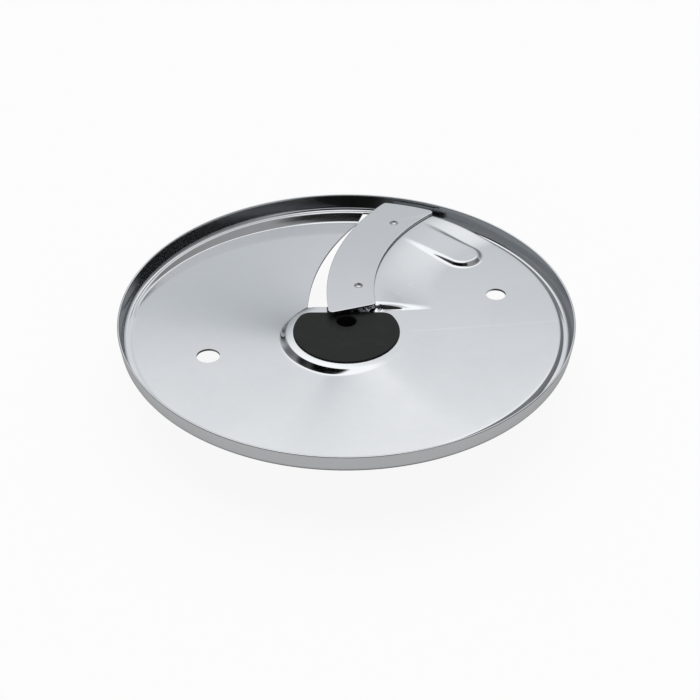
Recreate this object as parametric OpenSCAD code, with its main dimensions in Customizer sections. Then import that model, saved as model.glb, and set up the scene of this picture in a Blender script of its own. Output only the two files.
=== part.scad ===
// Slicing disc for a food processor. The origin is on the spin axis, at the foot of the hub.
// +Z is up. The blade lies towards +Y, and the disc turns anticlockwise seen from above.

/* [Rim] */
// Diameter across the top edge of the rim
disc_d = 180; // [150:1:216]
// Height of the rim, from its top edge to its underside
rim_depth = 7.9; // [6.6:0.1:9.5]
// Lean of the rim's wall, outwards from upright
rim_flare = 8; // [6:0.5:10]
// Outer radius of the bend at the foot of the rim
bend_r = 2.5; // [2:0.1:3]
// Thickness of the sheet steel
sheet_t = 0.9; // [0.75:0.05:1.1]
// Flat groove between the plate's edge and the rim's bend
groove_w = 2.3; // [1.9:0.1:2.8]

/* [Plate] */
// Level of the boss and of the right half, below the rim's top
boss_drop = 4.5; // [4:0.1:5.2]
// Level of the seat under the blade, below the rim's top
seat_drop = 2.35; // [2:0.05:2.8]
// Level of the plate at the throat's edge, below the rim's top
throat_drop = 10.1; // [8.5:0.1:12]
// Width of the step down from the plate to the groove
step_w = 0.8; // [0.6:0.1:1]
// Width of the sloping wall beside the throat
slope_w = 4.4; // [3.6:0.1:5.2]

/* [Hub window] */
// Radius of the round side of the D-shaped window
window_r = 20; // [16.5:0.5:24]
// Distance of the window's centre in front of the spin axis
window_shift = 6.6; // [6:0.1:7]
// Distance of the window's flat side behind the spin axis
window_flat = 5; // [4.2:0.1:5.8]
// Radius of the window's two corners
window_corner = 4; // [3:0.5:5]
// Flat ring of the boss around the cap
boss_w = 3.9; // [3.4:0.1:4.6]
// Width of the boss's sloping wall
boss_wall_w = 2.3; // [1.9:0.1:2.7]

/* [Blade] */
// Thickness of the blade
blade_t = 1; // [0.8:0.1:1.2]
// Radius of the leading edge
lead_r = 106; // [100:1:112]
// Radius of the trailing edge
trail_r = 79; // [75:1:82]
// Width of the ground bevel under the leading edge
bevel_w = 2.6; // [2.1:0.1:3.1]
// Gap between the blade's outer end and the rim's top edge
blade_gap = 3.5; // [2.9:0.1:4.2]
// Distance of the blade's inner end behind the spin axis
blade_inner = 4; // [3.5:0.1:5]
// Angle of the blade's inner end
blade_end_angle = 18.3; // [15:0.5:21]
// Radius of the blade's corners
blade_corner = 1.8; // [1.2:0.1:2.2]

/* [Throat] */
// Open width in front of the leading edge
throat_w = 7.6; // [6.4:0.1:9]
// How far the throat goes in under the blade
throat_under = 3.5; // [3:0.1:4.2]
// Width of the strip of sheet between the window and the throat
strip_w = 5.3; // [4.4:0.1:6.3]

/* [Tongue] */
// Width of the raised tongue behind the blade
tongue_w = 15.8; // [13.2:0.1:19]
// Level of the tongue, below the rim's top
tongue_drop = 2.9; // [2.6:0.1:3.5]
// Distance of the tongue's far end from the plate's edge
tongue_in = 17.2; // [14.4:0.1:20.6]

/* [Peg holes] */
// Diameter of the hole in the lower half
low_hole_d = 9.1; // [7.6:0.1:11]
// Diameter of the hole in the upper half
high_hole_d = 8; // [6.6:0.1:9.6]
// Distance of the lower hole from the spin axis
low_hole_at = 56.9; // [48:0.1:62]
// Distance of the upper hole from the spin axis
high_hole_at = 63.3; // [54:0.1:66]

/* [Rivets] */
// Radius of a rivet's shank
rivet_r = 1.25; // [1.05:0.05:1.5]
// Radius of a rivet's countersunk head
rivet_head_r = 1.85; // [1.7:0.05:2.2]
// Radius of a rivet's closed end under the plate
rivet_tail_r = 2.4; // [2:0.1:2.9]
// Height of a rivet's closed end
rivet_tail_h = 1.1; // [0.9:0.1:1.3]
// Distance of the rivets behind the leading edge
rivet_inset = 12.8; // [11.5:0.1:13.5]
// Distance of the inner rivet behind the boss
rivet_inner_in = 4.3; // [3.9:0.1:5.2]
// Distance of the outer rivet from the blade's outer end
rivet_outer_in = 15.2; // [12.7:0.1:18]

/* [Hub] */
// How far the hub reaches below the rim
hub_reach = 22; // [19:0.5:27]
// Radius of the barrel
barrel_r = 12.5; // [11.8:0.1:12.8]
// Radius of the drive socket
socket_r = 8; // [7.5:0.1:8.6]
// Depth of the drive socket
socket_depth = 17; // [14:0.5:17.5]
// Width of the two keyways in the socket
keyway_w = 3; // [2.5:0.1:3.6]
// Depth of the keyways beyond the socket's wall
keyway_d = 1.9; // [1.5:0.1:2.1]
// Diameter of the hole for the spindle's tip
tip_hole_d = 7.4; // [6.2:0.1:8.8]
// Width of the cap's lip on the boss
lip_w = 1; // [0.8:0.1:1.2]
// Thickness of the cap's lip
lip_t = 0.6; // [0.5:0.05:0.7]
// Depth of the recess that takes the cap
recess_d = 2; // [1.7:0.1:2.4]
// Floor under the recess
floor_t = 2; // [1.7:0.1:2.4]
// Width of the ring of the hub that bears on the sheet
head_w = 2.6; // [2.2:0.1:3.1]
// Thickness of the ribs
rib_t = 1.6; // [1.3:0.1:2]
// Height of the ribs
rib_h = 7; // [5.5:0.5:8.5]

/* [Hub screws] */
// Distance of the screws inside the window's edge
screw_in = 5; // [4.6:0.1:5.6]
// Radius of a screw's thread
screw_r = 1.5; // [1.25:0.05:1.75]
// Radius of a screw's head
screw_head_r = 2.8; // [2.4:0.1:3.2]
// Height of a screw's head
screw_head_h = 1.9; // [1.6:0.1:2.2]
// Radius of the cap's posts
post_r = 3; // [2.5:0.1:3.6]
// Length of the cap's posts
post_len = 7; // [6:0.5:8]
// Wall around a post
tube_wall = 1.6; // [1.3:0.1:1.9]
// Shelf under a post, which a screw pulls on
shelf_t = 2; // [1.7:0.1:2.4]

/* [Clearances] */
// Gap around the cap and its posts
fit_gap = 0.1; // [0.05:0.01:0.15]
// Gap around a rivet's shank and a screw's thread
shank_gap = 0.02; // [0.01:0.01:0.05]
// Gap under the posts, so that the screws can pull
pull_gap = 0.2; // [0.1:0.05:0.3]

/* [Hidden] */
$fn = 180;
steel = [0.78, 0.78, 0.8];
blade_steel = [0.74, 0.76, 0.78];
black = [0.14, 0.14, 0.14];
screw_steel = [0.55, 0.55, 0.57];
cut = 1; // how far a cutting tool runs past a face

// heights
rim_z = hub_reach + rim_depth;
boss_z = rim_z - boss_drop;
head_z = boss_z - sheet_t;
recess_z = head_z - recess_d;
barrel_z = recess_z - floor_t;
seat_z = rim_z - seat_drop;
ledge_drop = rim_depth - sheet_t;

// radii of the rim
rim_r = disc_d / 2;
bend_drop = rim_depth - bend_r;
bend_at = rim_r - bend_r * cos(rim_flare) - (bend_drop + bend_r * sin(rim_flare)) * tan(rim_flare);
lap_w = 0.4; // flat of the rim's ledge that laps the plate
plate_r = bend_at - groove_w;

// centres of the two edges of the blade, and the throat's near side
lead_at = [98, 17];
trail_at = [90.2, 18];
throat_at = [100.6, 16.4];
throat_r = lead_r + throat_w + throat_at[0] - lead_at[0];
blade_end_r = rim_r - blade_gap;

// the crease between the boss and the seat, and the tongue's far end
crease_at = [0, -window_shift] + (window_r + 0.3) * [cos(54), sin(54)];
crease_angle = -6;
crease_w = 1.6;
tongue_end = (plate_r - tongue_in) * [cos(44.2), sin(44.2)];
tongue_angle = -41;
tongue_run = 24;
tongue_edge = 2.2;
near_ramp = 16;
far_ramp = 30;

// spoke angles at which the plate changes level
ramp_top_angle = 300;
ramp_foot_angle = 255;
fold_angle = 172;
throat_angle = 98;
gap_angle = 81;

window_at = [0, -window_shift];
boss_r = window_r + boss_w;
foot_r = boss_r + boss_wall_w;
wall_shift = 0.4; // the sheet's underside follows the boss's wall this much nearer the axis
step_shift = 0.7; // and the step at the plate's edge this much

// holes in the plate
low_hole_angle = 199.5;
high_hole_angle = 17.5;

// rivets and screws
rivet_inner_at = boss_r - window_shift + rivet_inner_in;
rivet_outer_at = blade_end_r - rivet_outer_in;
rivet_arc_r = lead_r - rivet_inset;
screw_angles = [270, 170, 10];
tube_r = post_r + fit_gap + tube_wall;
shelf_z = recess_z - post_len - pull_gap - shelf_t;
tube_z = shelf_z - screw_head_h - 0.3;
screw_len = shelf_t + post_len - 1;

function clamp01(x) = max(0, min(1, x));
function ease(x) = let (c = clamp01(x)) c * c * (3 - 2 * c);
function polar(r, a) = [r * cos(a), r * sin(a)];

// Where a circle of radius r about c meets a circle of radius s about the axis, on the back side.
function meet(c, r, s) =
    let (d = norm(c), a = (s * s + d * d - r * r) / (2 * d), h = sqrt(s * s - a * a))
    [(a * c[0] - h * c[1]) / d, (a * c[1] + h * c[0]) / d];

// Level of the spiral plate at a spoke angle: high on the right, down a ramp at the front, and
// down again from the fold to the throat.
function spiral(a) =
    a > ramp_foot_angle
    ? -boss_drop - (ledge_drop - boss_drop)
        * clamp01((ramp_top_angle - a) / (ramp_top_angle - ramp_foot_angle))
    : -ledge_drop - (throat_drop - ledge_drop) * fall(a);
function fall(a) = clamp01((fold_angle - a) / (fold_angle - throat_angle));

// Rise of the seat above the right half: full under the blade, then a ramp down behind it.
function seat_rise(p) =
    let (behind = trail_r - norm(p - trail_at),
         run = near_ramp + (far_ramp - near_ramp) * clamp01((norm(p) - foot_r) / (plate_r - foot_r)),
         back = (p - crease_at) * [-sin(crease_angle), cos(crease_angle)])
    (boss_drop - seat_drop) * clamp01(1 - max(0, behind) / run) * clamp01(back / crease_w + 0.5);

// Rise of the tongue above the right half: a flat pad with a round far end.
function tongue_rise(p) =
    let (u = polar(1, tongue_angle), q = p - tongue_end, along = q * u, across = q * [-u[1], u[0]],
         out = along > 0 ? norm(q) : abs(across))
    along < -tongue_run ? 0
    : (boss_drop - tongue_drop) * clamp01((tongue_w / 2 - out) / tongue_edge + 0.5);

// Level of the plate's top at a point on a spoke, from the level the row has by itself.
function level(p, a, own) =
    let (right = -boss_drop + max(seat_rise(p), tongue_rise(p)),
         side = ease((norm(p - lead_at) - lead_r - 0.5) / 3))
    a >= 180 ? own : side * own + (1 - side) * right;

// One spoke of the sheet: rows of [radius, own level, shift of the underside, thickness].
// The rows run from inside the window, over the boss, the plate and the ledge, into the rim.
function spoke(a) =
    let (far = a >= gap_angle && a <= fold_angle,
         base = spiral(a),
         edge_r = far ? bend_at - 1.5 - (slope_w - 0.7) * fall(a) : plate_r,
         near_row = foot_r + 5,
         last_row = bend_at - slope_w - 2.4,
         plate_rows = 7)
    concat(
        [[12, -boss_drop, 0, sheet_t],
         [boss_r - 2.1, -boss_drop, 0, sheet_t],
         [boss_r, -boss_drop, wall_shift, sheet_t],
         [foot_r, base, wall_shift, sheet_t]],
        [for (k = [0:plate_rows]) [near_row + (last_row - near_row) * k / plate_rows, base, 0, sheet_t]],
        [[edge_r, base, far ? 0 : step_shift, sheet_t],
         [far ? bend_at - 0.75 : plate_r + step_w, -ledge_drop, far ? 0 : step_shift, sheet_t],
         [bend_at - 0.6, -ledge_drop, 0, sheet_t],
         [bend_at + 0.15, -ledge_drop - 0.25, 0, sheet_t / 2]]);

// A row's centre moves from the window's centre to the spin axis between the boss and the edge.
function on_spoke(r, a) =
    polar(r, a) + window_at * clamp01((plate_r - r) / (plate_r - foot_r));

module sheet() {
    angles = concat([for (a = [0:2.5:130]) a], [for (a = [135:5:355]) a]);
    rows = len(spoke(0));
    count = len(angles);
    top = [for (a = angles, s = [spoke(a)], j = [0:rows - 1])
        let (p = on_spoke(s[j][0], a), flat = j >= rows - 3)
        [p[0], p[1], rim_z + (flat ? s[j][1] : level(p, a, s[j][1]))]];
    under = [for (i = [0:count - 1], s = [spoke(angles[i])], j = [0:rows - 1])
        let (p = on_spoke(s[j][0] - s[j][2], angles[i]))
        [p[0], p[1], top[i * rows + j][2] - s[j][3]]];
    last = rows - 1;
    all = count * rows;
    faces = [for (i = [0:count - 1], n = [(i + 1) % count])
        each concat(
            [for (j = [0:last - 1], a = [i * rows + j], d = [n * rows + j])
                each [[a, d, d + 1], [a, d + 1, a + 1],
                      [all + a, all + d + 1, all + d], [all + a, all + a + 1, all + d + 1]]],
            [for (a = [i * rows + last], d = [n * rows + last])
                each [[a, d, all + d], [a, all + d, all + a]]],
            [for (a = [i * rows], d = [n * rows])
                each [[a, all + d, d], [a, all + a, all + d]]])];
    polyhedron(concat(top, under), faces, convexity = 8);
}

// The rim's section: a flat ledge, a bend and a leaning wall of one thickness.
module rim() {
    inner_bend = bend_r - sheet_t;
    steps = [0:8];
    outside = [for (k = steps) [bend_at, -bend_drop] + polar(bend_r, -90 + (90 - rim_flare) * k / 8)];
    inside = [for (k = steps) [bend_at, -bend_drop] + polar(inner_bend, -rim_flare - (90 - rim_flare) * k / 8)];
    translate([0, 0, rim_z])
        rotate_extrude()
            polygon(concat(
                [[bend_at - lap_w, -rim_depth]], outside,
                [[rim_r, 0], [rim_r - sheet_t / cos(rim_flare), 0]], inside,
                [[bend_at - lap_w, -ledge_drop]]));
}

// D-shaped outline of the hub's window, grown by a distance.
module window_shape(grow) {
    r = window_r + grow;
    corner = window_corner + grow;
    offset(r = corner)
        offset(delta = -corner)
            intersection() {
                translate(window_at) circle(r);
                translate([-r, window_flat + grow - 2 * r]) square(2 * r);
            }
}

// The throat: a curved slot from the strip behind the hub to the ledge.
module throat() {
    height = throat_drop + sheet_t + 2 * cut;
    translate([0, 0, rim_z - height + cut])
        difference() {
            intersection() {
                translate(throat_at) cylinder(r = throat_r, h = height);
                cylinder(r = bend_at - 0.5, h = height);
                translate([-rim_r, window_flat + strip_w, 0]) cube([disc_d, rim_r, height]);
            }
            translate([lead_at[0], lead_at[1], -cut])
                cylinder(r = lead_r - throat_under, h = height + 2 * cut);
        }
}

module at_rivet(distance) {
    p = meet(lead_at, rivet_arc_r, distance);
    translate([p[0], p[1], seat_z]) children();
}

module rivet_holes() {
    for (distance = [rivet_inner_at, rivet_outer_at])
        at_rivet(distance)
            translate([0, 0, -sheet_t - cut])
                cylinder(r = rivet_r + shank_gap, h = sheet_t + blade_t + 2 * cut, $fn = 48);
}

module peg_hole(d, distance, angle) {
    p = polar(distance, angle);
    translate([p[0], p[1], rim_z - rim_depth - cut]) cylinder(d = d, h = rim_depth + cut);
}

module disc_plate() {
    color(steel)
        difference() {
            union() {
                sheet();
                rim();
            }
            throat();
            translate([0, 0, head_z - cut])
                linear_extrude(sheet_t + 2 * cut) window_shape(0);
            rivet_holes();
            peg_hole(low_hole_d, low_hole_at, low_hole_angle);
            peg_hole(high_hole_d, high_hole_at, high_hole_angle);
        }
}

// Plan of the blade: between its two edges, inside the rim, and behind its inner end.
module blade_plan() {
    offset(r = blade_corner, $fn = 48)
        offset(delta = -blade_corner)
            difference() {
                intersection() {
                    translate(lead_at) circle(lead_r, $fn = 360);
                    circle(blade_end_r, $fn = 360);
                    translate([0, blade_inner])
                        rotate(blade_end_angle) translate([-rim_r, 0]) square([disc_d, rim_r]);
                }
                translate(trail_at) circle(trail_r, $fn = 360);
            }
}

module rivet_sink(gap) {
    depth = rivet_head_r - rivet_r;
    translate([0, 0, blade_t - depth])
        cylinder(r1 = rivet_r + gap, r2 = rivet_head_r + gap, h = depth, $fn = 48);
}

module slicing_blade() {
    land = 0.3; // the grind runs out this far past the edge, which leaves a thin land
    color(blade_steel)
        difference() {
            intersection() {
                translate([0, 0, seat_z]) linear_extrude(blade_t) blade_plan();
                translate([lead_at[0], lead_at[1], seat_z])
                    cylinder(r1 = lead_r - bevel_w, r2 = lead_r + land, h = blade_t);
            }
            rivet_holes();
            for (distance = [rivet_inner_at, rivet_outer_at])
                at_rivet(distance) rivet_sink(shank_gap);
        }
}

// A countersunk rivet: dimpled head in the blade, shank, and a closed end under the sheet.
module blade_rivet(distance) {
    dimple_h = 0.35;
    color(blade_steel)
        at_rivet(distance)
            difference() {
                union() {
                    rivet_sink(0);
                    translate([0, 0, -sheet_t - rivet_tail_h / 2])
                        cylinder(r = rivet_r, h = sheet_t + rivet_tail_h / 2 + blade_t / 2, $fn = 48);
                    translate([0, 0, -sheet_t - rivet_tail_h])
                        cylinder(r1 = rivet_tail_r - 0.4, r2 = rivet_tail_r, h = rivet_tail_h, $fn = 48);
                }
                translate([0, 0, blade_t - dimple_h])
                    cylinder(r1 = rivet_head_r / 2, r2 = rivet_head_r - 0.35, h = dimple_h + 0.01, $fn = 48);
            }
}

module inner_blade_rivet() { blade_rivet(rivet_inner_at); }
module outer_blade_rivet() { blade_rivet(rivet_outer_at); }

module at_screw(k) {
    p = window_at + polar(window_r - screw_in, screw_angles[k]);
    translate([p[0], p[1], 0]) children();
}

// The cap: a D-shaped lip on the boss, a spigot through the window and three posts for the screws.
module hub_cap() {
    color(black)
        difference() {
            union() {
                translate([0, 0, boss_z]) linear_extrude(lip_t) window_shape(lip_w);
                translate([0, 0, recess_z])
                    linear_extrude(boss_z - recess_z + lip_t / 2) window_shape(-fit_gap);
                for (k = [0:2])
                    at_screw(k)
                        translate([0, 0, recess_z - post_len])
                            cylinder(r = post_r, h = post_len + recess_d / 2, $fn = 64);
            }
            translate([0, 0, recess_z - cut]) cylinder(d = tip_hole_d, h = rim_depth);
            for (k = [0:2])
                at_screw(k)
                    translate([0, 0, recess_z - post_len - cut])
                        cylinder(r = screw_r + shank_gap, h = cut + screw_len - shelf_t + 0.2, $fn = 48);
        }
}

// A rib from the barrel out under the head, full height at the barrel.
module rib(angle) {
    reach = window_r + window_shift + head_w;
    rotate(angle)
        translate([0, rib_t / 2, 0])
            rotate([90, 0, 0])
                linear_extrude(rib_t)
                    polygon([[socket_r + 2, barrel_z - rib_h], [barrel_r, barrel_z - rib_h],
                             [reach, barrel_z], [reach, barrel_z + floor_t / 2],
                             [socket_r + 2, barrel_z + floor_t / 2]]);
}

module hub_body() {
    chamfer = 0.6;
    color(black)
        difference() {
            union() {
                cylinder(r1 = barrel_r - chamfer, r2 = barrel_r, h = chamfer);
                translate([0, 0, chamfer]) cylinder(r = barrel_r, h = barrel_z - chamfer + floor_t / 2);
                translate([0, 0, barrel_z]) linear_extrude(floor_t + recess_d) window_shape(head_w);
                intersection() {
                    for (angle = [212, 243, 297, 328]) rib(angle);
                    linear_extrude(rim_z) window_shape(head_w - 0.5);
                }
                for (k = [0:2])
                    at_screw(k)
                        translate([0, 0, tube_z]) cylinder(r = tube_r, h = barrel_z - tube_z + floor_t / 2, $fn = 64);
            }
            translate([0, 0, recess_z])
                linear_extrude(recess_d + cut) window_shape(fit_gap);
            translate([0, 0, -cut]) cylinder(r = socket_r, h = socket_depth + cut);
            translate([-socket_r - keyway_d, -keyway_w / 2, -cut])
                cube([2 * (socket_r + keyway_d), keyway_w, socket_depth + cut]);
            translate([0, 0, socket_depth - cut]) cylinder(d = tip_hole_d, h = rim_z);
            for (k = [0:2])
                at_screw(k) {
                    translate([0, 0, shelf_z + shelf_t])
                        cylinder(r = post_r + fit_gap, h = rim_z, $fn = 64);
                    translate([0, 0, shelf_z - cut])
                        cylinder(r = screw_r + fit_gap, h = shelf_t + 2 * cut, $fn = 48);
                    translate([0, 0, tube_z - cut])
                        cylinder(r = screw_head_r + fit_gap, h = shelf_z - tube_z + cut, $fn = 64);
                }
        }
}

// A screw from below: a pan head with a cross in it, and the threaded length in the cap's post.
module hub_screw(k) {
    cross_w = 0.8;
    cross_l = 3;
    color(screw_steel)
        at_screw(k)
            difference() {
                union() {
                    translate([0, 0, shelf_z - screw_head_h])
                        cylinder(r1 = screw_head_r - 0.5, r2 = screw_head_r, h = screw_head_h, $fn = 64);
                    translate([0, 0, shelf_z - screw_head_h / 2])
                        cylinder(r = screw_r, h = screw_len + screw_head_h / 2, $fn = 48);
                }
                for (turn = [0, 90])
                    translate([0, 0, shelf_z - screw_head_h])
                        rotate(turn) cube([cross_l, cross_w, 2], center = true);
            }
}

module hub_screw_front() { hub_screw(0); }
module hub_screw_left() { hub_screw(1); }
module hub_screw_right() { hub_screw(2); }

disc_plate();
slicing_blade();
inner_blade_rivet();
outer_blade_rivet();
hub_cap();
hub_body();
hub_screw_front();
hub_screw_left();
hub_screw_right();
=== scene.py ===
from math import cos, radians, sin, tan

import bpy
import numpy as np
from mathutils import Matrix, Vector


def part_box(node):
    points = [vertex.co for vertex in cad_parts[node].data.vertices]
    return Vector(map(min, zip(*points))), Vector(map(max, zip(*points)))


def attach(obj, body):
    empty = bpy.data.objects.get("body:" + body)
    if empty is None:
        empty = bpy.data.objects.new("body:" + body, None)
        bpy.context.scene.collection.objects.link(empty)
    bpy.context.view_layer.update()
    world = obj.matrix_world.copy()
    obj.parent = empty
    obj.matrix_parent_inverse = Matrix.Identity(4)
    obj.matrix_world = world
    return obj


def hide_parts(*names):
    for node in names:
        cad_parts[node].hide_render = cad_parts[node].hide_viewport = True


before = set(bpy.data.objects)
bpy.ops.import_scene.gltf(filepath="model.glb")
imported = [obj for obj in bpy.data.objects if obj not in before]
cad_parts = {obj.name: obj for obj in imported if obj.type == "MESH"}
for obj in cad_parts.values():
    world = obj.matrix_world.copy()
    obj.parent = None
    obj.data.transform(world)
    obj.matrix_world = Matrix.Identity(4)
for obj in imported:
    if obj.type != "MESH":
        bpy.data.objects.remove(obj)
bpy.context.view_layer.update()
mm = 0.001
print("frame loaded:", ", ".join(sorted(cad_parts)))

# Sizes are in millimetres here, and turn into metres when a mesh is written.
plateHigh = np.array(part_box("disc_plate")[1]) / mm
rimRadius, rimTop = plateHigh[0], plateHigh[2]
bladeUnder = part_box("slicing_blade")[0][2] / mm
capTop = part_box("hub_cap")[1][2] / mm


def clamp01(value):
    return np.clip(value, 0.0, 1.0)


# Smooth step: 3c^2 - 2c^3 of the value held between 0 and 1.
def ease(value):
    c = clamp01(value)
    return c * c * (3 - 2 * c)


# A ramp from 0 to 1 whose two corners are rounded over a width: half the difference of two hyperbolas, plus
# a half.
def softRamp(value, width):
    return (np.sqrt(value ** 2 + width ** 2) - np.sqrt((value - 1) ** 2 + width ** 2) + 1) / 2


# How far a pressed edge has dropped, 0 to 1: a wide shoulder that steepens to the foot, the share to a power.
def pressed(value, power):
    return clamp01(value) ** power


# Point at a radius and an angle in degrees, around a centre.
def polar(radius, angle, centre=(0.0, 0.0)):
    a = np.radians(angle)
    return np.stack([centre[0] + radius * np.cos(a), centre[1] + radius * np.sin(a)], -1)


# Where circle (c, r) meets circle (k, s), to the left of the line from c to k: along it by the cosine rule,
# then square to it by what is left of r.
def circleMeet(c, r, k, s):
    c, k = np.array(c, float), np.array(k, float)
    line = k - c
    d = np.hypot(*line)
    along = (r * r - s * s + d * d) / (2 * d)
    off = np.sqrt(r * r - along * along)
    return c + along * line / d + off * np.array([-line[1], line[0]]) / d


# Quads of a grid of rows by columns, joined round in either direction.
def gridFaces(rows, columns, closeRows=True, closeColumns=True):
    i = np.arange(rows if closeRows else rows - 1)[:, None]
    j = np.arange(columns if closeColumns else columns - 1)[None, :]
    i2, j2 = (i + 1) % rows, (j + 1) % columns
    quads = [i * columns + j, i2 * columns + j, i2 * columns + j2, i * columns + j2]
    return np.stack(np.broadcast_arrays(*quads), -1).reshape(-1, 4)


# Signed volume of closed quads: the sum of the corner determinants of their two triangles, over six.
def signedVolume(points, quads):
    a, b, c, d = (points[quads[:, k]] for k in range(4))
    return (np.einsum("ij,ij->i", a, np.cross(b, c)) + np.einsum("ij,ij->i", a, np.cross(c, d))).sum() / 6


# One closed mesh from several shells of (points, quads, caps), each turned to face outwards.
def shellMesh(name, shells):
    allPoints, allFaces, start = [], [], 0
    for points, quads, caps in shells:
        middle = points.mean(0)
        inside = signedVolume(points - middle, quads) < 0
        faces = [list(f) for f in (quads[:, ::-1] if inside else quads)]
        faces += [list(cap)[::-1] if inside else list(cap) for cap in caps]
        allPoints.append(points)
        allFaces += [[start + v for v in face] for face in faces]
        start += len(points)
    mesh = bpy.data.meshes.new(name)
    mesh.from_pydata(np.concatenate(allPoints) * mm, [], allFaces)
    mesh.update()
    obj = bpy.data.objects.new(name, mesh)
    bpy.context.scene.collection.objects.link(obj)
    return obj


# A profile of (radius, height) turned about a vertical line: x = r cos a, y = r sin a.
def turned(profile, centre=(0.0, 0.0), steps=64):
    profile = np.array(profile, float)
    a = np.linspace(0, 360, steps, endpoint=False)
    xy = polar(profile[None, :, 0], a[:, None], centre)
    z = np.broadcast_to(profile[None, :, 1], xy.shape[:2])
    points = np.concatenate([xy, z[..., None]], -1).reshape(-1, 3)
    count = len(profile)
    quads = gridFaces(steps, count, True, False)
    bottom = [k * count for k in range(steps)][::-1]
    top = [k * count + count - 1 for k in range(steps)]
    return points, quads, [bottom, top]


# Bakes an object's modifiers into its mesh.
def settle(obj):
    graph = bpy.context.evaluated_depsgraph_get()
    mesh = bpy.data.meshes.new_from_object(obj.evaluated_get(graph))
    obj.modifiers.clear()
    obj.data = mesh


# Cuts closed shapes out of an object and removes them.
def cutAway(obj, cutters):
    for cutter in cutters:
        boolean = obj.modifiers.new("cut", "BOOLEAN")
        boolean.operation = "DIFFERENCE"
        boolean.solver = "MANIFOLD"
        boolean.object = cutter
    settle(obj)
    for cutter in cutters:
        bpy.data.objects.remove(cutter)


# Smooth shading, sharp where faces meet at more than an angle.
def smooth(obj, angle):
    obj.data.polygons.foreach_set("use_smooth", np.ones(len(obj.data.polygons), bool))
    obj.data.set_sharp_from_angle(angle=radians(angle))


disc = {
    "sheet": 0.9,            # thickness of the steel
    "rimDepth": 7.9,
    "rimFlare": 8,           # lean of the wall, degrees
    "bendRadius": 2.5,
    "grooveWidth": 2.3,
    "stepWidth": 0.8,
    "bossDrop": 4.5,         # levels below the rim's top
    "seatDrop": 2.35,
    "throatDrop": 10.1,
    "tongueDrop": 2.9,
    "bossWidth": 3.9,
    "bossWallWidth": 2.3,
    "bossSlope": 0.35,       # fall of the ring before its edge
    "windowRadius": 20,
    "windowCentre": (0, -6.6),
    "windowFlat": 11.6,      # from the window's centre
    "windowCorner": 4,
    "rampAngles": (300, 255),
    "foldAngle": 172,
    "throatAngle": 98,
    "creaseAt": (11.35, 9.0),
    "creaseAngle": 2,        # degrees
    "creaseBend": 0.02,      # how it bends back under the blade
    "creaseWidth": 3.2,
    "seatRamp": (22, 32),    # run of the seat's ramp near the boss and at the rim
    "tongueWidth": 15.8,
    "tongueShoulder": 1.6,
    "tongueIn": 17.2,
    "tongueAt": 44.2,        # direction of its far end from the axis, degrees
    "tongueAngle": -41,
    "tongueRun": (38, 32),   # how far back it starts, and where it is full
    "lowHole": (56.9, 199.5, 9.1),    # distance, angle, diameter
    "highHole": (63.3, 17.5, 8.0),
    "sunk": ((78, 5), (168, 8)),    # where the plate lies below the ledge: angle and run at each end
    "spokes": ((-9, 70, 0.45), (70, 114, 0.75), (114, 351, 1.5)),    # from, to, spacing in degrees
    "closeRowsFrom": 79.4,   # radius where the rows draw together for the edge
}
blade = {
    "thickness": 1.0,
    "leadCentre": (98, 17), "leadRadius": 106,
    "trailCentre": (90.2, 18), "trailRadius": 79,
    "gap": 3.5,              # to the rim's top edge
    "innerAt": 4, "endAngle": 18.3,
    "corner": 1.8,
    "bevel": 2.6,
    "rivetInset": 12.8,
    "rivetsAt": (21.6, 71.3),
}
throat = {"centre": (100.6, 16.4), "radius": 116.2, "under": 3.5, "start": 10.3}

sheet = disc["sheet"]
ledgeDrop = disc["rimDepth"] - sheet
flare = disc["rimFlare"]
bendDrop = disc["rimDepth"] - disc["bendRadius"]
bendAt = (rimRadius - disc["bendRadius"] * cos(radians(flare))
          - (bendDrop + disc["bendRadius"] * sin(radians(flare))) * tan(radians(flare)))
plateRadius = bendAt - disc["grooveWidth"]
bossRadius = disc["windowRadius"] + disc["bossWidth"]
footRadius = bossRadius + disc["bossWallWidth"]
windowCentre = np.array(disc["windowCentre"], float)
leadCentre = np.array(blade["leadCentre"], float)
trailCentre = np.array(blade["trailCentre"], float)


# Distance from the window's centre to its D-shaped outline along an angle, grown by a distance:
# the round side, then a corner arc, then the flat side divided by the sine of the angle.
def windowReach(angle, grow):
    a = np.where(np.cos(np.radians(angle)) < 0, np.radians(180) - np.radians(angle), np.radians(angle))
    a = (a + np.pi) % (2 * np.pi) - np.pi
    radius = disc["windowRadius"] + grow
    flat = disc["windowFlat"] + grow
    corner = disc["windowCorner"] + grow
    cy = flat - corner
    cx = np.sqrt((radius - corner) ** 2 - cy ** 2)
    dot = cx * np.cos(a) + cy * np.sin(a)
    arc = dot + np.sqrt(np.maximum(dot ** 2 - cx ** 2 - cy ** 2 + corner ** 2, 0))
    straight = flat / np.maximum(np.sin(a), 0.05)
    inArc = (a > np.arctan2(cy, cx)) & (a < np.arctan2(flat, cx))
    return np.where(inArc, arc, np.where(a >= np.arctan2(flat, cx), straight, radius))


# How far the plate has fallen towards the throat, 0 at the fold and 1 at the throat: one less the rest of the
# way to the power 1.5, so it falls early.
def fall(angle):
    share = softRamp((disc["foldAngle"] - angle) / (disc["foldAngle"] - disc["throatAngle"]), 0.2)
    return 1 - (1 - clamp01(share)) ** 1.5


# Level of the spiral at a spoke: high on the right, down a ramp in front, down again to the throat.
def spiral(angle):
    top, foot = disc["rampAngles"]
    ramp = softRamp((top - angle) / (top - foot), 0.12)
    return (-disc["bossDrop"] - (ledgeDrop - disc["bossDrop"]) * ramp
            - (disc["throatDrop"] - ledgeDrop) * fall(angle))


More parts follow.
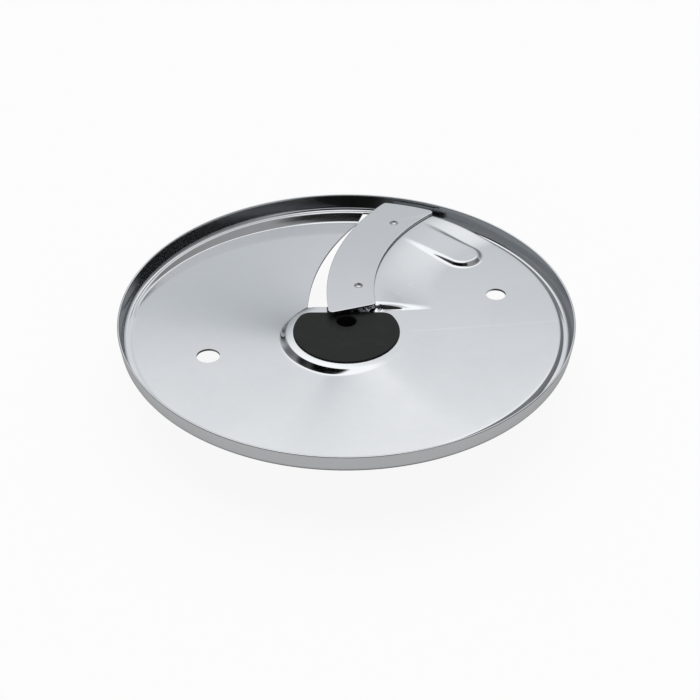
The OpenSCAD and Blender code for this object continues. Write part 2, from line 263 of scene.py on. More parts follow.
# Rise of the seat under the blade: full in front of the trailing edge, then an eased ramp whose run grows
# outwards, and pressed down in front of the crease.
def seatRise(x, y):
    behind = blade["trailRadius"] - np.hypot(x - trailCentre[0], y - trailCentre[1])
    out = clamp01((np.hypot(x, y) - footRadius) / (plateRadius - footRadius))
    near, far = disc["seatRamp"]
    run = near + (far - near) * out
    slope, width = radians(disc["creaseAngle"]), disc["creaseWidth"]
    creaseX, creaseY = disc["creaseAt"]
    front = ((x - creaseX) * sin(slope) - (y - creaseY) * cos(slope)
             + disc["creaseBend"] * np.maximum(creaseX - x, 0) ** 2)
    return ((disc["bossDrop"] - disc["seatDrop"]) * (1 - ease(behind / run))
            * (1 - pressed((front + width - 1) / width, 2.6)))


# Rise of the tongue: a flat pad with a round far end and sloping sides.
def tongueRise(x, y):
    endX, endY = polar(plateRadius - disc["tongueIn"], disc["tongueAt"])
    c, s = cos(radians(disc["tongueAngle"])), sin(radians(disc["tongueAngle"]))
    along = (x - endX) * c + (y - endY) * s
    across = -(x - endX) * s + (y - endY) * c
    out = np.where(along > 0, np.hypot(along, across), np.abs(across))
    rise = disc["bossDrop"] - disc["tongueDrop"]
    shoulder = disc["tongueShoulder"]
    edge = ease((out - disc["tongueWidth"] / 2 + shoulder) / (shoulder + 0.5))
    start, full = disc["tongueRun"]
    return rise * (1 - edge) * ease((along + start) / (start - full))


# Centre of a row of spokes: from the window's centre at the boss to the spin axis at the plate's edge.
def rowCentre(radius):
    share = clamp01((plateRadius - radius) / (plateRadius - footRadius))
    return share[..., None] * windowCentre


# Level of the sheet's upper face, below the rim's top, at a radius along a spoke: the boss drops to the
# spiral, the blade's side is raised by the seat and the tongue together (what neither has left undone), and
# the edge steps down to the ledge.
def sheetLevel(radius, angle):
    xy = polar(radius, angle) + rowCentre(radius)
    x, y = xy[..., 0], xy[..., 1]
    ring = ease((radius - bossRadius + 3.4) / 6.8) * disc["bossSlope"]
    wall = ring + (1 - ring) * softRamp((radius - bossRadius) / disc["bossWallWidth"], 0.06)
    own = -disc["bossDrop"] + (spiral(angle) + disc["bossDrop"]) * wall
    full = disc["bossDrop"] - disc["seatDrop"]
    right = -disc["bossDrop"] + full * (1 - (1 - seatRise(x, y) / full) * (1 - tongueRise(x, y) / full))
    side = np.where(angle >= 180, 1, ease((np.hypot(x - leadCentre[0], y - leadCentre[1])
                                           - blade["leadRadius"] - 0.5) / 3))
    z = side * own + (1 - side) * right
    (start, startRun), (stop, stopRun) = disc["sunk"]
    far = ease((angle - start) / startRun) * (1 - ease((angle - stop) / stopRun))
    edge = plateRadius + far * (bendAt - 0.65 - 3.3 * fall(angle) - plateRadius)
    width = disc["stepWidth"] + far * (bendAt - 0.4 - edge - disc["stepWidth"])
    step = softRamp((radius - edge) / width, 0.05 + 0.15 * (1 - far))
    return z + (-ledgeDrop - z) * step


# One spoke's section as (radius, level) rows, closed into a loop: out along the upper face, round the
# ledge's bend, up the rim, over its edge and back under, then in along the lower face.
def discPoints(angle):
    a = angle[:, None]
    inner = windowReach(angle, 0)[:, None]
    closer = disc["closeRowsFrom"]

    def rowRadii(ring, wallRows, plateRows, edgeRows):
        fixed = np.concatenate([
            np.linspace(bossRadius - 2.4, footRadius + 0.4, wallRows),
            np.linspace(footRadius + 1.2, closer - 0.2, plateRows),
            np.linspace(closer + 0.2, bendAt - 0.3, edgeRows)])
        ringRows = inner + (bossRadius - 2.7 - inner) * np.linspace(0, 1, ring)[None, :]
        return np.concatenate([ringRows, np.broadcast_to(fixed, (len(angle), len(fixed)))], 1)

    def placed(radius, level):
        xy = polar(radius, a) + rowCentre(radius)
        return np.concatenate([xy, (rimTop + level)[..., None]], -1)

    topRadii = rowRadii(5, 20, 92, 24)
    upper = placed(topRadii, sheetLevel(topRadii, a))
    lowRadii = rowRadii(3, 10, 26, 14)
    nearWall = np.abs(lowRadii - bossRadius) < 6
    nearEdge = lowRadii > closer - 0.4
    shift = np.where(nearWall, 0.4, np.where(nearEdge, 0.55, 0.0))    # keeps the thickness on slopes
    lower = placed(lowRadii, sheetLevel(lowRadii + shift, a) - sheet)[:, ::-1]

    outerBend, innerBend = disc["bendRadius"], disc["bendRadius"] - sheet
    turnAngle = np.linspace(0, 90 - flare, 9)
    insideBend = polar(innerBend, -90 + turnAngle, (bendAt, -bendDrop))
    outsideBend = polar(outerBend, -flare - turnAngle, (bendAt, -bendDrop))
    lipAngle = np.linspace(180 - flare, -flare, 7)
    lip = polar(sheet / 2, lipAngle, (rimRadius - sheet / 2 - 0.03, -sheet / 2))
    inWall = insideBend[-1] + (lip[0] - insideBend[-1]) * np.array([[0.07], [0.5], [0.93]])
    outWall = lip[-1] + (outsideBend[0] - lip[-1]) * np.array([[0.07], [0.5], [0.93]])
    section = np.concatenate([[[bendAt - 0.1, -ledgeDrop]], insideBend, inWall, lip, outWall, outsideBend,
                              [[bendAt - 0.1, -disc["rimDepth"]]]])
    fixedRadius = np.broadcast_to(section[:, 0], (len(angle), len(section)))
    rim = placed(fixedRadius, np.broadcast_to(section[:, 1], fixedRadius.shape))
    return np.concatenate([upper, rim, lower], 1)


# Prism over a strip of plan points (across, along, 2), between two levels.
def stripPrism(plan, low, high):
    edge = np.concatenate([plan[:, 0], plan[-1, 1:], plan[-2::-1, -1], plan[0, -2:0:-1]])
    count = len(edge)
    points = np.concatenate([np.c_[edge, np.full(count, low)], np.c_[edge, np.full(count, high)]])
    ring = np.arange(count)
    after = (ring + 1) % count
    quads = np.stack([ring, after, after + count, ring + count], -1)
    return points, quads, [list(ring[::-1]), list(ring + count)]


# The throat in plan: curves between its near circle and the one under the blade, each from the start line
# to where it reaches the ledge's bend, found by halving the interval.
def throatPlan():
    across = np.linspace(0, 1, 9)[:, None]
    nearCentre = np.array(throat["centre"])
    underRadius = blade["leadRadius"] - throat["under"]

    def at(y):
        near = nearCentre[0] - np.sqrt(throat["radius"] ** 2 - (y - nearCentre[1]) ** 2)
        under = leadCentre[0] - np.sqrt(underRadius ** 2 - (y - leadCentre[1]) ** 2)
        return np.stack(np.broadcast_arrays(near + (under - near) * across, y), -1)

    low, high = np.full((9, 1), 60.0), np.full((9, 1), 90.0)
    for halving in range(40):
        middle = (low + high) / 2
        outside = np.hypot(*np.moveaxis(at(middle), -1, 0)) > bendAt - 0.5
        low, high = np.where(outside, low, middle), np.where(outside, middle, high)
    along = np.linspace(0, 1, 60)[None, :]
    return at(throat["start"] + (low - throat["start"]) * along)


# The rivets stand on a circle inside the leading edge, at their distances from the axis.
def rivetSpots():
    ring = blade["leadRadius"] - blade["rivetInset"]
    return [circleMeet((0, 0), distance, leadCentre, ring) for distance in blade["rivetsAt"]]


# The disc: the sheet as one closed grid of spokes by rows, then the throat and the holes cut through it.
def makeDisc():
    angle = np.concatenate([np.arange(*part) for part in disc["spokes"]])
    points = discPoints(angle % 360)
    faces = gridFaces(*points.shape[:2])
    obj = shellMesh("stamped_disc", [(points.reshape(-1, 3), faces, [])])
    cutters = [shellMesh("throatCutter", [stripPrism(throatPlan(), rimTop - 14, rimTop + 1)])]
    for distance, holeAngle, size in (disc["lowHole"], disc["highHole"]):
        spot = polar(distance, holeAngle)
        profile = [(size / 2, rimTop - 10), (size / 2, rimTop)]
        cutters.append(shellMesh("holeCutter", [turned(profile, spot, 96)]))
    for spot in rivetSpots():
        profile = [(1.3, rimTop - 5), (1.3, rimTop)]
        cutters.append(shellMesh("rivetCutter", [turned(profile, spot, 32)]))
    cutAway(obj, cutters)
    smooth(obj, 38)
    return obj


# Plan of the blade for one leading radius, drawn in by an inset: four curves joined by corner arcs, whose
# centres are where the four curves meet when they are drawn in by the corner's radius.
def bladeOutline(leadRadius, inset):
    corner = blade["corner"] - inset
    lead, end, trail = leadRadius - inset, rimRadius - blade["gap"] - inset, blade["trailRadius"] + inset
    slope = radians(blade["endAngle"])
    normal = np.array([-sin(slope), cos(slope)])
    offset = blade["innerAt"] * cos(slope) + inset

    def onLine(centre, radius):
        distance = offset + corner - centre @ normal
        foot = centre + distance * normal
        reach = np.sqrt(radius ** 2 - distance ** 2)
        return foot - reach * np.array([normal[1], -normal[0]])

    innerLead = onLine(leadCentre, lead - corner)
    outerLead = circleMeet((0, 0), end - corner, leadCentre, lead - corner)
    outerTrail = circleMeet((0, 0), end - corner, trailCentre, trail + corner)
    innerTrail = onLine(trailCentre, trail + corner)

    def arc(centre, radius, start, stop, steps):
        a0 = np.arctan2(*(start - centre)[::-1])
        a1 = np.arctan2(*(stop - centre)[::-1])
        a1 = a0 + (a1 - a0 + np.pi) % (2 * np.pi) - np.pi
        a = np.linspace(a0, a1, steps)
        return np.stack([centre[0] + radius * np.cos(a), centre[1] + radius * np.sin(a)], -1)

    def outward(centre, point, radius):
        return centre + (point - centre) / np.hypot(*(point - centre)) * radius

    axis = np.zeros(2)
    p1, p2 = outward(leadCentre, innerLead, lead), outward(leadCentre, outerLead, lead)
    p3, p4 = outward(axis, outerLead, end), outward(axis, outerTrail, end)
    p5, p6 = outward(trailCentre, outerTrail, trail), outward(trailCentre, innerTrail, trail)
    p7, p8 = innerTrail - corner * normal, innerLead - corner * normal
    line = p7 + (p8 - p7) * np.linspace(0, 1, 14)[1:-1, None]
    return np.concatenate([
        arc(leadCentre, lead, p1, p2, 90), arc(outerLead, corner, p2, p3, 9)[1:-1],
        arc(axis, end, p3, p4, 30), arc(outerTrail, corner, p4, p5, 9)[1:-1],
        arc(trailCentre, trail, p5, p6, 80), arc(innerTrail, corner, p6, p7, 9)[1:-1],
        line, arc(innerLead, corner, p8, p1, 9)[:-1]])


# The blade as outlines stacked from its underside up: the leading radius grows over the ground bevel,
# and small insets round the edges.
def makeBlade():
    t, bevel = blade["thickness"], blade["bevel"]
    low = bladeUnder
    rows = [(0.0, 0.4), (0.0, 0.10), (0.04, 0.03), (0.10, 0.0), (0.50, 0.0), (0.88, 0.0), (0.96, 0.03),
            (1.0, 0.10), (1.0, 0.4)]
    outlines = []
    for height, inset in rows:
        ground = bevel * max(0.0, 1 - height / 0.9)
        plan = bladeOutline(blade["leadRadius"] - ground, inset)
        outlines.append(np.c_[plan, np.full(len(plan), low + t * height)])
    points = np.stack(outlines)
    rowCount, count = points.shape[:2]
    quads = gridFaces(rowCount, count, False, True)
    caps = [list(range(count)), list(range((rowCount - 1) * count, rowCount * count))[::-1]]
    obj = shellMesh("blade_strip", [(points.reshape(-1, 3), quads, caps)])
    cutters = []
    for spot in rivetSpots():
        profile = [(1.27, low - 1), (1.27, low + t - 0.6), (1.87, low + t), (1.87 + 0.2, low + t + 0.2)]
        cutters.append(shellMesh("sinkCutter", [turned(profile, spot, 48)]))
    cutAway(obj, cutters)
    smooth(obj, 35)
    return obj


# A countersunk rivet: a section turned about its own axis, with a dimple in the head.
def makeRivet(name, spot):
    low, t = bladeUnder, blade["thickness"]
    tail = low - sheet
    top = low + t
    section = [(0.001, tail - 1.1), (1.7, tail - 1.1), (2.15, tail - 0.95), (2.4, tail - 0.55),
               (2.4, tail - 0.1), (2.3, tail), (1.25, tail),
               (1.25, top - 0.6), (1.80, top - 0.05), (1.78, top), (1.74, top),
               (1.68, top - 0.04), (0.95, top - 0.78), (0.8, top - 0.84), (0.001, top - 0.84)]
    obj = shellMesh(name, [turned(section, spot, 48)])
    smooth(obj, 40)
    return obj


hub = {
    "lipWidth": 1.0, "lipHeight": 0.6,
    "spigotGap": 0.1,
    "tipHole": 7.4,
    "postRadius": 3.0, "postLength": 7.0, "screwIn": 5.0,
    "screwAngles": (270, 170, 10),
    "edgeRound": 0.3,
}


# The cap: rows of (share from the hole's circle to the D outline, growth of the outline, level), closed
# round from the hole's lower edge over the top, the lip and the spigot to the lower face.
def makeCap():
    angle = np.linspace(0, 360, 240, endpoint=False)
    top, low = capTop, capTop - hub["lipHeight"] - 2.9
    lip, spigot = hub["lipWidth"], -hub["spigotGap"]
    boss = top - hub["lipHeight"]
    holeRadius = hub["tipHole"] / 2
    holeRows = [(low, 0.0), (top - 1.2, 0.0), (top - 0.75, 0.03), (top - 0.4, 0.13), (top - 0.15, 0.33),
                (top, 0.7)]
    outRows = [(top, lip - 0.75), (top - 0.03, lip - 0.42), (top - 0.12, lip - 0.18),
               (top - 0.26, lip - 0.04), (top - 0.42, lip),
               (boss + 0.02, lip), (boss + 0.01, lip - 0.05), (boss, spigot), (low, spigot)]

    def level(plan, z):
        return np.c_[plan, np.full(len(plan), z)]

    rings = [level(polar(holeRadius + grow, angle), z) for z, grow in holeRows]
    outer = [level(polar(windowReach(angle, grow), angle, windowCentre), z) for z, grow in outRows]
    flat = [rings[-1] + (outer[0] - rings[-1]) * share for share in (0.25, 0.5, 0.75)]
    points = np.stack(rings + flat + outer)
    shells = [(points.reshape(-1, 3), gridFaces(*points.shape[:2]), [])]
    for turnAngle in hub["screwAngles"]:
        spot = polar(disc["windowRadius"] - hub["screwIn"], turnAngle, windowCentre)
        length = hub["postLength"]
        post = [(hub["postRadius"] - 0.3, low - length), (hub["postRadius"], low - length + 0.3),
                (hub["postRadius"], low + 0.5)]
        shells.append(turned(post, spot, 48))
    obj = shellMesh("d_cap", shells)
    smooth(obj, 38)
    return obj


# A copy of a CAD solid with its loose corners merged and its edges rounded.
def roundedCopy(name, node, width):
    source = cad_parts[node]
    mesh = source.data.copy()
    obj = bpy.data.objects.new(name, mesh)
    bpy.context.scene.collection.objects.link(obj)
    mesh.materials.clear()
    weld = obj.modifiers.new("weld", "WELD")
    weld.merge_threshold = 1e-6
    flat = obj.modifiers.new("flat", "DECIMATE")
    flat.decimate_type = "DISSOLVE"
    flat.angle_limit = radians(0.5)
    bevel = obj.modifiers.new("edges", "BEVEL")
    bevel.width = width * mm
    bevel.segments = 2
    bevel.limit_method = "ANGLE"
    bevel.angle_limit = radians(35)
    settle(obj)
    smooth(obj, 30)
    return obj


# An empty shader group with its sockets.
def newGroup(name, inputs, outputs):
    group = bpy.data.node_groups.new(name, "ShaderNodeTree")
    for label, kind, value in inputs:
        socket = group.interface.new_socket(label, in_out="INPUT", socket_type=kind)
        socket.default_value = value
    for label, kind in outputs:
        group.interface.new_socket(label, in_out="OUTPUT", socket_type=kind)
    return group, group.nodes.new("NodeGroupInput"), group.nodes.new("NodeGroupOutput")


# A node with its settings and its constant inputs, whose names have _ for a space.
def addNode(tree, kind, settings=None, **values):
    node = tree.nodes.new(kind)
    for key, value in (settings or {}).items():
        setattr(node, key, value)
    for key, value in values.items():
        node.inputs[key.replace("_", " ")].default_value = value
    return node


# A math node with its inputs linked or set.
def calc(tree, operation, first, second=None, third=None, clamp=False):
    node = tree.nodes.new("ShaderNodeMath")
    node.operation = operation
    node.use_clamp = clamp
    for slot, value in enumerate((first, second, third)):
        if value is None:
            continue
        if isinstance(value, (int, float)):
            node.inputs[slot].default_value = value
        else:
            tree.links.new(value, node.inputs[slot])
    return node.outputs[0]


# A value mapped from one range to another.
def mapRange(tree, value, fromMin, fromMax, toMin=0.0, toMax=1.0, kind="SMOOTHSTEP"):
    node = tree.nodes.new("ShaderNodeMapRange")
    node.interpolation_type = kind
    tree.links.new(value, node.inputs["Value"])
    for label, number in (("From Min", fromMin), ("From Max", fromMax), ("To Min", toMin), ("To Max", toMax)):
        node.inputs[label].default_value = number
    return node.outputs["Result"]


# Satin grain: fine noise drawn out along one direction, as a mask and as a normal.
def grainGroup():
    group, given, out = newGroup("satinGrain", [
        ("Direction", "NodeSocketVector", (300, 300, 300)), ("Depth", "NodeSocketFloat", 0.1)],
        [("Grain", "NodeSocketFloat"), ("Normal", "NodeSocketVector")])
    place = addNode(group, "ShaderNodeTexCoord")
    stretch = addNode(group, "ShaderNodeVectorMath", {"operation": "MULTIPLY"})
    group.links.new(place.outputs["Object"], stretch.inputs[0])
    group.links.new(given.outputs["Direction"], stretch.inputs[1])
    noise = addNode(group, "ShaderNodeTexNoise", Scale=1.0, Detail=4.0, Roughness=0.6)
    group.links.new(stretch.outputs[0], noise.inputs["Vector"])
    bump = addNode(group, "ShaderNodeBump", Distance=0.00002)
    group.links.new(given.outputs["Depth"], bump.inputs["Strength"])
    group.links.new(noise.outputs["Fac"], bump.inputs["Height"])
    group.links.new(noise.outputs["Fac"], out.inputs["Grain"])
    group.links.new(bump.outputs["Normal"], out.inputs["Normal"])
    return group


# Handling marks: broad smudges from slow noise, and a few hair scratches from stretched noise.
def marksGroup():
    group, given, out = newGroup("handlingMarks", [
        ("Size", "NodeSocketFloat", 30.0), ("Scratch Size", "NodeSocketFloat", 60.0)],
        [("Smudge", "NodeSocketFloat"), ("Scratch", "NodeSocketFloat")])
    place = addNode(group, "ShaderNodeTexCoord")
    smudge = addNode(group, "ShaderNodeTexNoise", Detail=3.0, Roughness=0.5)
    group.links.new(place.outputs["Object"], smudge.inputs["Vector"])
    group.links.new(given.outputs["Size"], smudge.inputs["Scale"])
    turn = addNode(group, "ShaderNodeMapping")
    turn.inputs["Rotation"].default_value = (0, 0, radians(33))
    turn.inputs["Scale"].default_value = (1, 26, 1)
    group.links.new(place.outputs["Object"], turn.inputs["Vector"])
    scratch = addNode(group, "ShaderNodeTexNoise", Detail=2.0, Distortion=0.4)
    group.links.new(turn.outputs["Vector"], scratch.inputs["Vector"])
    group.links.new(given.outputs["Scratch Size"], scratch.inputs["Scale"])
    group.links.new(mapRange(group, smudge.outputs["Fac"], 0.42, 0.68), out.inputs["Smudge"])
    group.links.new(mapRange(group, scratch.outputs["Fac"], 0.70, 0.76), out.inputs["Scratch"])
    return group


# Worn edges, and on steel a painted highlight along them: the mesh's pointiness, broken up by noise.
def edgeGroup():
    group, given, out = newGroup("edgeWearAndHighlight", [
        ("Break Up", "NodeSocketFloat", 400.0), ("Start", "NodeSocketFloat", 0.52)],
        [("WearAndHighlight", "NodeSocketFloat")])
    shape = addNode(group, "ShaderNodeNewGeometry")
    place = addNode(group, "ShaderNodeTexCoord")
    noise = addNode(group, "ShaderNodeTexNoise", Detail=3.0)
    group.links.new(place.outputs["Object"], noise.inputs["Vector"])
    group.links.new(given.outputs["Break Up"], noise.inputs["Scale"])
    above = calc(group, "SUBTRACT", shape.outputs["Pointiness"], given.outputs["Start"])
    sharp = calc(group, "MULTIPLY", above, 12.0)
    worn = calc(group, "MULTIPLY", sharp, noise.outputs["Fac"], clamp=True)
    group.links.new(worn, out.inputs["WearAndHighlight"])
    return group


# Dust: settles where a face looks up, in drifts of slow noise.
def dustGroup():
    group, given, out = newGroup("dustFilm", [("Size", "NodeSocketFloat", 90.0)],
                                 [("Dust", "NodeSocketFloat")])
    shape = addNode(group, "ShaderNodeNewGeometry")
    split = addNode(group, "ShaderNodeSeparateXYZ")
    group.links.new(shape.outputs["Normal"], split.inputs[0])
    place = addNode(group, "ShaderNodeTexCoord")
    noise = addNode(group, "ShaderNodeTexNoise", Detail=6.0, Roughness=0.7)
    group.links.new(place.outputs["Object"], noise.inputs["Vector"])
    group.links.new(given.outputs["Size"], noise.inputs["Scale"])
    up = mapRange(group, split.outputs["Z"], 0.3, 0.9)
    drift = mapRange(group, noise.outputs["Fac"], 0.45, 0.75)
    group.links.new(calc(group, "MULTIPLY", up, drift), out.inputs["Dust"])
    return group


grain, marks, wearAndHighlight, dust = grainGroup(), marksGroup(), edgeGroup(), dustGroup()


# A node group placed in a material with its inputs set.
def placeGroup(tree, group, **values):
    node = tree.nodes.new("ShaderNodeGroup")
    node.node_tree = group
    for key, value in values.items():
        node.inputs[key].default_value = value
    return node


# Two colours mixed by a share, each a constant or a socket.
def mixColour(tree, share, first, second):
    node = tree.nodes.new("ShaderNodeMix")
    node.data_type = "RGBA"
    tree.links.new(share, node.inputs["Factor"])
    for label, value in (("A", first), ("B", second)):
        socket = [s for s in node.inputs if s.name == label and s.type == "RGBA"][0]
        if isinstance(value, tuple):
            socket.default_value = (*value, 1.0)
        else:
            tree.links.new(value, socket)
    return [s for s in node.outputs if s.type == "RGBA"][0]


def mixValue(tree, share, first, second):
    node = tree.nodes.new("ShaderNodeMix")
    tree.links.new(share, node.inputs[0])
    tree.links.new(first, node.inputs[2])
    tree.links.new(second, node.inputs[3])
    return node.outputs[0]


steels = {
    "plateSteel": {"colour": (0.80, 0.815, 0.83), "dark": (0.74, 0.755, 0.775), "rough": 0.11, "spread": 0.04,
                   "grain": (260, 260, 260), "depth": 0.10},
    "bladeSteel": {"colour": (0.76, 0.775, 0.79), "dark": (0.70, 0.715, 0.73), "rough": 0.15, "spread": 0.04,
                   "grain": (90, 1500, 900), "depth": 0.12},
    "rivetSteel": {"colour": (0.74, 0.75, 0.77), "dark": (0.66, 0.67, 0.69), "rough": 0.16, "spread": 0.04,
                   "grain": (700, 700, 700), "depth": 0.2},
    "screwSteel": {"colour": (0.58, 0.58, 0.60), "dark": (0.48, 0.48, 0.50), "rough": 0.32, "spread": 0.10,
                   "grain": (900, 900, 900), "depth": 0.25},
}
plastic = {"colour": (0.011, 0.0115, 0.011), "worn": (0.055, 0.055, 0.055), "dust": (0.30, 0.30, 0.29),
           "rough": 0.42, "texture": 2600.0}


# Steel: two tones mixed by the grain and the smudges, worn edges a little brighter, which is also a painted
# highlight along them.
def makeSteel(name):
    values = steels[name]
    material = bpy.data.materials.new(name)
    material.use_nodes = True
    tree = material.node_tree
    shader = tree.nodes["Principled BSDF"]
    shader.inputs["Metallic"].default_value = 1.0
    fine = placeGroup(tree, grain, Direction=values["grain"], Depth=values["depth"])
    hands = placeGroup(tree, marks, Size=28.0)
    edges = placeGroup(tree, wearAndHighlight)
    blend = calc(tree, "MULTIPLY", fine.outputs["Grain"], 0.6)
    blend = calc(tree, "MULTIPLY_ADD", hands.outputs["Smudge"], 0.35, blend)
    colour = mixColour(tree, blend, values["colour"], values["dark"])
    # Painted highlight and wear: the edges are mixed towards a colour a tenth brighter.
    bright = tuple(min(1.0, c * 1.1) for c in values["colour"])
    colour = mixColour(tree, calc(tree, "MULTIPLY", edges.outputs["WearAndHighlight"], 0.5), colour, bright)
    tree.links.new(colour, shader.inputs["Base Color"])
    spread = values["spread"]
    rough = calc(tree, "MULTIPLY_ADD", fine.outputs["Grain"], spread, values["rough"] - spread / 2)
    rough = calc(tree, "MULTIPLY_ADD", hands.outputs["Smudge"], spread * 0.5, rough)
    rough = calc(tree, "MULTIPLY_ADD", hands.outputs["Scratch"], 0.02, rough)
    tree.links.new(rough, shader.inputs["Roughness"])
    tree.links.new(fine.outputs["Normal"], shader.inputs["Normal"])
    return material


# Black plastic: a fine moulded texture, edges rubbed paler, and a trace of dust on top.
def makePlastic(name):
    material = bpy.data.materials.new(name)
    material.use_nodes = True
    tree = material.node_tree
    shader = tree.nodes["Principled BSDF"]
    edges = placeGroup(tree, wearAndHighlight, Start=0.53)
    film = placeGroup(tree, dust, Size=160.0)
    texture = placeGroup(tree, grain, Direction=(plastic["texture"],) * 3, Depth=0.5)
    shader.inputs["Specular IOR Level"].default_value = 0.26
    rubbed = calc(tree, "MULTIPLY", edges.outputs["WearAndHighlight"], 0.35)
    colour = mixColour(tree, rubbed, plastic["colour"], plastic["worn"])
    dusty = calc(tree, "MULTIPLY", film.outputs["Dust"], 0.03)
    colour = mixColour(tree, dusty, colour, plastic["dust"])
    tree.links.new(colour, shader.inputs["Base Color"])
    rough = calc(tree, "MULTIPLY_ADD", texture.outputs["Grain"], 0.12, plastic["rough"])
    tree.links.new(rough, shader.inputs["Roughness"])
    tree.links.new(texture.outputs["Normal"], shader.inputs["Normal"])
    return material


# Gives a piece its material, hangs it on the root body, and hides the CAD solids it stands for.
def dress(obj, material, slotName, *nodes):
    obj.data.materials.clear()
    obj.data.materials.append(material)
    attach(obj, "root")
    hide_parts(*nodes)


plateSteel, bladeSteel = makeSteel("plateSteel"), makeSteel("bladeSteel")
rivetSteel, screwSteel = makeSteel("rivetSteel"), makeSteel("screwSteel")
hubPlastic = makePlastic("hubPlastic")
print("materials made")

dress(makeDisc(), plateSteel, "plate_steel", "disc_plate")
print("disc made")
dress(makeBlade(), bladeSteel, "blade_steel", "slicing_blade")
innerSpot, outerSpot = rivetSpots()
dress(makeRivet("inner_rivet", innerSpot), rivetSteel, "rivet_steel", "inner_blade_rivet")
dress(makeRivet("outer_rivet", outerSpot), rivetSteel, "rivet_steel", "outer_blade_rivet")
print("blade and rivets made")
dress(makeCap(), hubPlastic, "hub_plastic", "hub_cap")
dress(roundedCopy("hub_moulding", "hub_body", hub["edgeRound"]), hubPlastic, "hub_plastic", "hub_body")
for side in ("front", "left", "right"):
    screw = roundedCopy("screw_" + side, "hub_screw_" + side, 0.15)
    dress(screw, screwSteel, "screw_steel", "hub_screw_" + side)
print("hub made")


studio = {
    "floorSize": 6.0,
    "floorGlow": 0.92,       # what the camera sees of the floor by itself
    "floorInSteel": 0.48,    # what the steel sees of it
    "floorDeeper": 0.05,     # and by way of other steel
}


# Floor: the camera sees a pale glow with a soft shadow over it. Steel sees a dimmer one, with a painted
# shadow under the disc where it sees next to nothing, and by way of other steel it also sees next to nothing.
def makeFloor():
    half = studio["floorSize"] / 2
    mesh = bpy.data.meshes.new("floor")
    corners = [(-half, -half, 0), (half, -half, 0), (half, half, 0), (-half, half, 0)]
    mesh.from_pydata(corners, [], [(0, 1, 2, 3)])
    obj = bpy.data.objects.new("floor", mesh)
    bpy.context.scene.collection.objects.link(obj)
    material = bpy.data.materials.new("floorPaint")
    material.use_nodes = True
    tree = material.node_tree
    tree.nodes.clear()
    out = tree.nodes.new("ShaderNodeOutputMaterial")
    seen = addNode(tree, "ShaderNodeLightPath")
    diffuse = addNode(tree, "ShaderNodeBsdfDiffuse", Color=(0.12, 0.12, 0.12, 1))
    glow = addNode(tree, "ShaderNodeEmission", Strength=studio["floorGlow"])
    both = addNode(tree, "ShaderNodeAddShader")
    tree.links.new(diffuse.outputs[0], both.inputs[0])
    tree.links.new(glow.outputs[0], both.inputs[1])
    dim = tree.nodes.new("ShaderNodeEmission")
    place = addNode(tree, "ShaderNodeTexCoord")
    reach = addNode(tree, "ShaderNodeVectorMath", {"operation": "LENGTH"})
    tree.links.new(place.outputs["Object"], reach.inputs[0])
    # Painted shadow: steel sees the floor go dark under the disc, clearing between 0.8 and 1.2 of the rim's
    # radius.
    clear = mapRange(tree, reach.outputs["Value"], rimRadius * mm * 0.8, rimRadius * mm * 1.2)
    seenOutsidePaintedShadow = calc(tree, "MULTIPLY", calc(tree, "LESS_THAN", seen.outputs["Ray Depth"], 1.5), clear)
    far, near = studio["floorInSteel"], studio["floorDeeper"]
    dimmed = calc(tree, "MULTIPLY_ADD", seenOutsidePaintedShadow, far - near, near)
    tree.links.new(dimmed, dim.inputs["Strength"])
    mix = addNode(tree, "ShaderNodeMixShader")
    tree.links.new(seen.outputs["Is Camera Ray"], mix.inputs[0])
    tree.links.new(dim.outputs[0], mix.inputs[1])
    tree.links.new(both.outputs[0], mix.inputs[2])
    tree.links.new(mix.outputs[0], out.inputs["Surface"])
    mesh.materials.append(material)


# Studio round the disc, as brightness by direction. Straight in the steel it grows with height, less the
# dark cards above the camera and at its sides. Steel that mirrors steel sees the darker room below them.
room = {
    "low": 0.50, "mid": 0.68, "high": 1.0, "top": 1.22,       # brightness up the wall
    "heights": (0.42, 0.53, 0.64, 0.80),                       # sines of the heights between them
    # dark cards: azimuth from -Y towards +X, height, the two angles of the soft edge, and the share left
    "cards": [(0, 54, 20, 31, 0.02), (-40, 52, 17, 28, 0.03), (-72, 42, 17, 28, 0.06),
              (-105, 28, 14, 30, 0.34), (85, 42, 30, 44, 0.28)],
    "corner": (0.012, 0.74), "cornerTop": (0.50, 0.62),        # the room as steel in steel sees it
    "sides": [(-80, 35, 36, 58, 0.30), (180, 25, 30, 50, 0.28)],    # as the cards, with a brightness
}


# A soft spot round a direction: the cosine between them, ramped between the two angles.
def directionMask(tree, direction, azimuth, elevation, inner, outer):
    az, el = radians(azimuth), radians(elevation)
    dot = addNode(tree, "ShaderNodeVectorMath", {"operation": "DOT_PRODUCT"})
    tree.links.new(direction, dot.inputs[0])
    dot.inputs[1].default_value = (sin(az) * cos(el), -cos(az) * cos(el), sin(el))
    return mapRange(tree, dot.outputs["Value"], cos(radians(outer)), cos(radians(inner)))
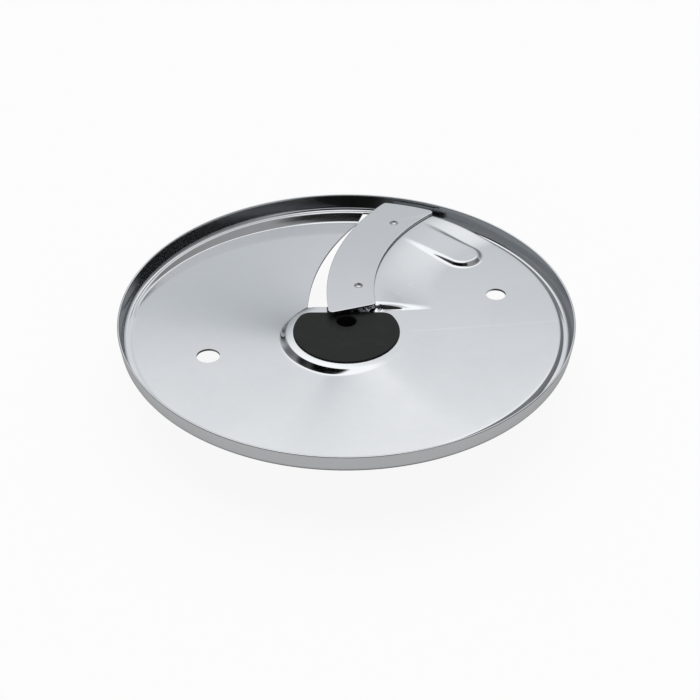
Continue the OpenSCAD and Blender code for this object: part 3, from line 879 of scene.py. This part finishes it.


# The wall's brightness is a sum of three ramps of height, times what each card leaves. The deeper room is one
# ramp of height, with each side mixed over it.
def makeWorld():
    world = bpy.data.worlds.new("studio")
    bpy.context.scene.world = world
    world.use_nodes = True
    tree = world.node_tree
    tree.nodes.clear()
    out = tree.nodes.new("ShaderNodeOutputWorld")
    direction = addNode(tree, "ShaderNodeTexCoord").outputs["Generated"]
    split = addNode(tree, "ShaderNodeSeparateXYZ")
    tree.links.new(direction, split.inputs[0])
    height = split.outputs["Z"]
    h = room["heights"]
    first = mapRange(tree, height, h[0], h[1], room["low"], room["mid"], "LINEAR")
    second = mapRange(tree, height, h[1], h[2], 0.0, room["high"] - room["mid"], "LINEAR")
    third = mapRange(tree, height, h[2], h[3], 0.0, room["top"] - room["high"], "LINEAR")
    wall = calc(tree, "ADD", calc(tree, "ADD", first, second), third)
    shade = 1.0
    for azimuth, elevation, inner, outer, left in room["cards"]:
        card = directionMask(tree, direction, azimuth, elevation, inner, outer)
        shade = calc(tree, "MULTIPLY", calc(tree, "MULTIPLY_ADD", card, left - 1.0, 1.0), shade)
    wall = calc(tree, "MULTIPLY", wall, shade)
    wall = calc(tree, "MULTIPLY", wall, mapRange(tree, height, 0.02, 0.30, 0.12, 1.0))

    dark = mapRange(tree, height, *room["cornerTop"], *room["corner"])
    for azimuth, elevation, inner, outer, value in room["sides"]:
        side = directionMask(tree, direction, azimuth, elevation, inner, outer)
        keep = calc(tree, "MULTIPLY", dark, calc(tree, "SUBTRACT", 1.0, side))
        dark = calc(tree, "MULTIPLY_ADD", side, value, keep)

    seen = addNode(tree, "ShaderNodeLightPath")
    deeper = calc(tree, "GREATER_THAN", seen.outputs["Ray Depth"], 2.5)    # light adds one
    light = mixValue(tree, deeper, wall, dark)
    tint = mixColour(tree, mapRange(tree, height, 0.5, 0.66), (0.93, 0.965, 1.0), (0.985, 0.99, 1.0))
    studioLight = addNode(tree, "ShaderNodeBackground")
    tree.links.new(tint, studioLight.inputs["Color"])
    tree.links.new(light, studioLight.inputs["Strength"])
    backdrop = addNode(tree, "ShaderNodeBackground", Strength=1.0)
    backdrop.inputs["Color"].default_value = (1, 1, 1, 1)
    mix = addNode(tree, "ShaderNodeMixShader")
    tree.links.new(seen.outputs["Is Camera Ray"], mix.inputs[0])
    tree.links.new(studioLight.outputs[0], mix.inputs[1])
    tree.links.new(backdrop.outputs[0], mix.inputs[2])
    tree.links.new(mix.outputs[0], out.inputs["Surface"])
    world.cycles.sampling_method = "NONE"    # the light depends on a ray's depth, so rays find it themselves


# Camera: in front of the disc and above it, then panned, tilted and rolled by small angles.
cameraSet = {"distance": 720, "elevation": 34.88, "pan": -0.11, "tilt": -1.18, "roll": -0.14, "lens": 93.96}


def makeCamera():
    e = radians(cameraSet["elevation"])
    away = cameraSet["distance"]
    data = bpy.data.cameras.new("camera")
    data.lens = cameraSet["lens"]
    data.sensor_width = 36
    camera = bpy.data.objects.new("camera", data)
    bpy.context.scene.collection.objects.link(camera)
    level = Matrix.Rotation(radians(90) - e, 4, "X")
    pan, tilt, roll = (radians(cameraSet[turn]) for turn in ("pan", "tilt", "roll"))
    aim = Matrix.Rotation(pan, 4, "Y") @ Matrix.Rotation(tilt, 4, "X") @ Matrix.Rotation(roll, 4, "Z")
    camera.matrix_world = (Matrix.Translation((0, -cos(e) * away * mm, (rimTop + sin(e) * away) * mm))
                           @ level @ aim)
    bpy.context.scene.camera = camera


makeFloor()
makeWorld()
makeCamera()
bpy.context.scene.view_settings.view_transform = "Standard"
print("studio made")
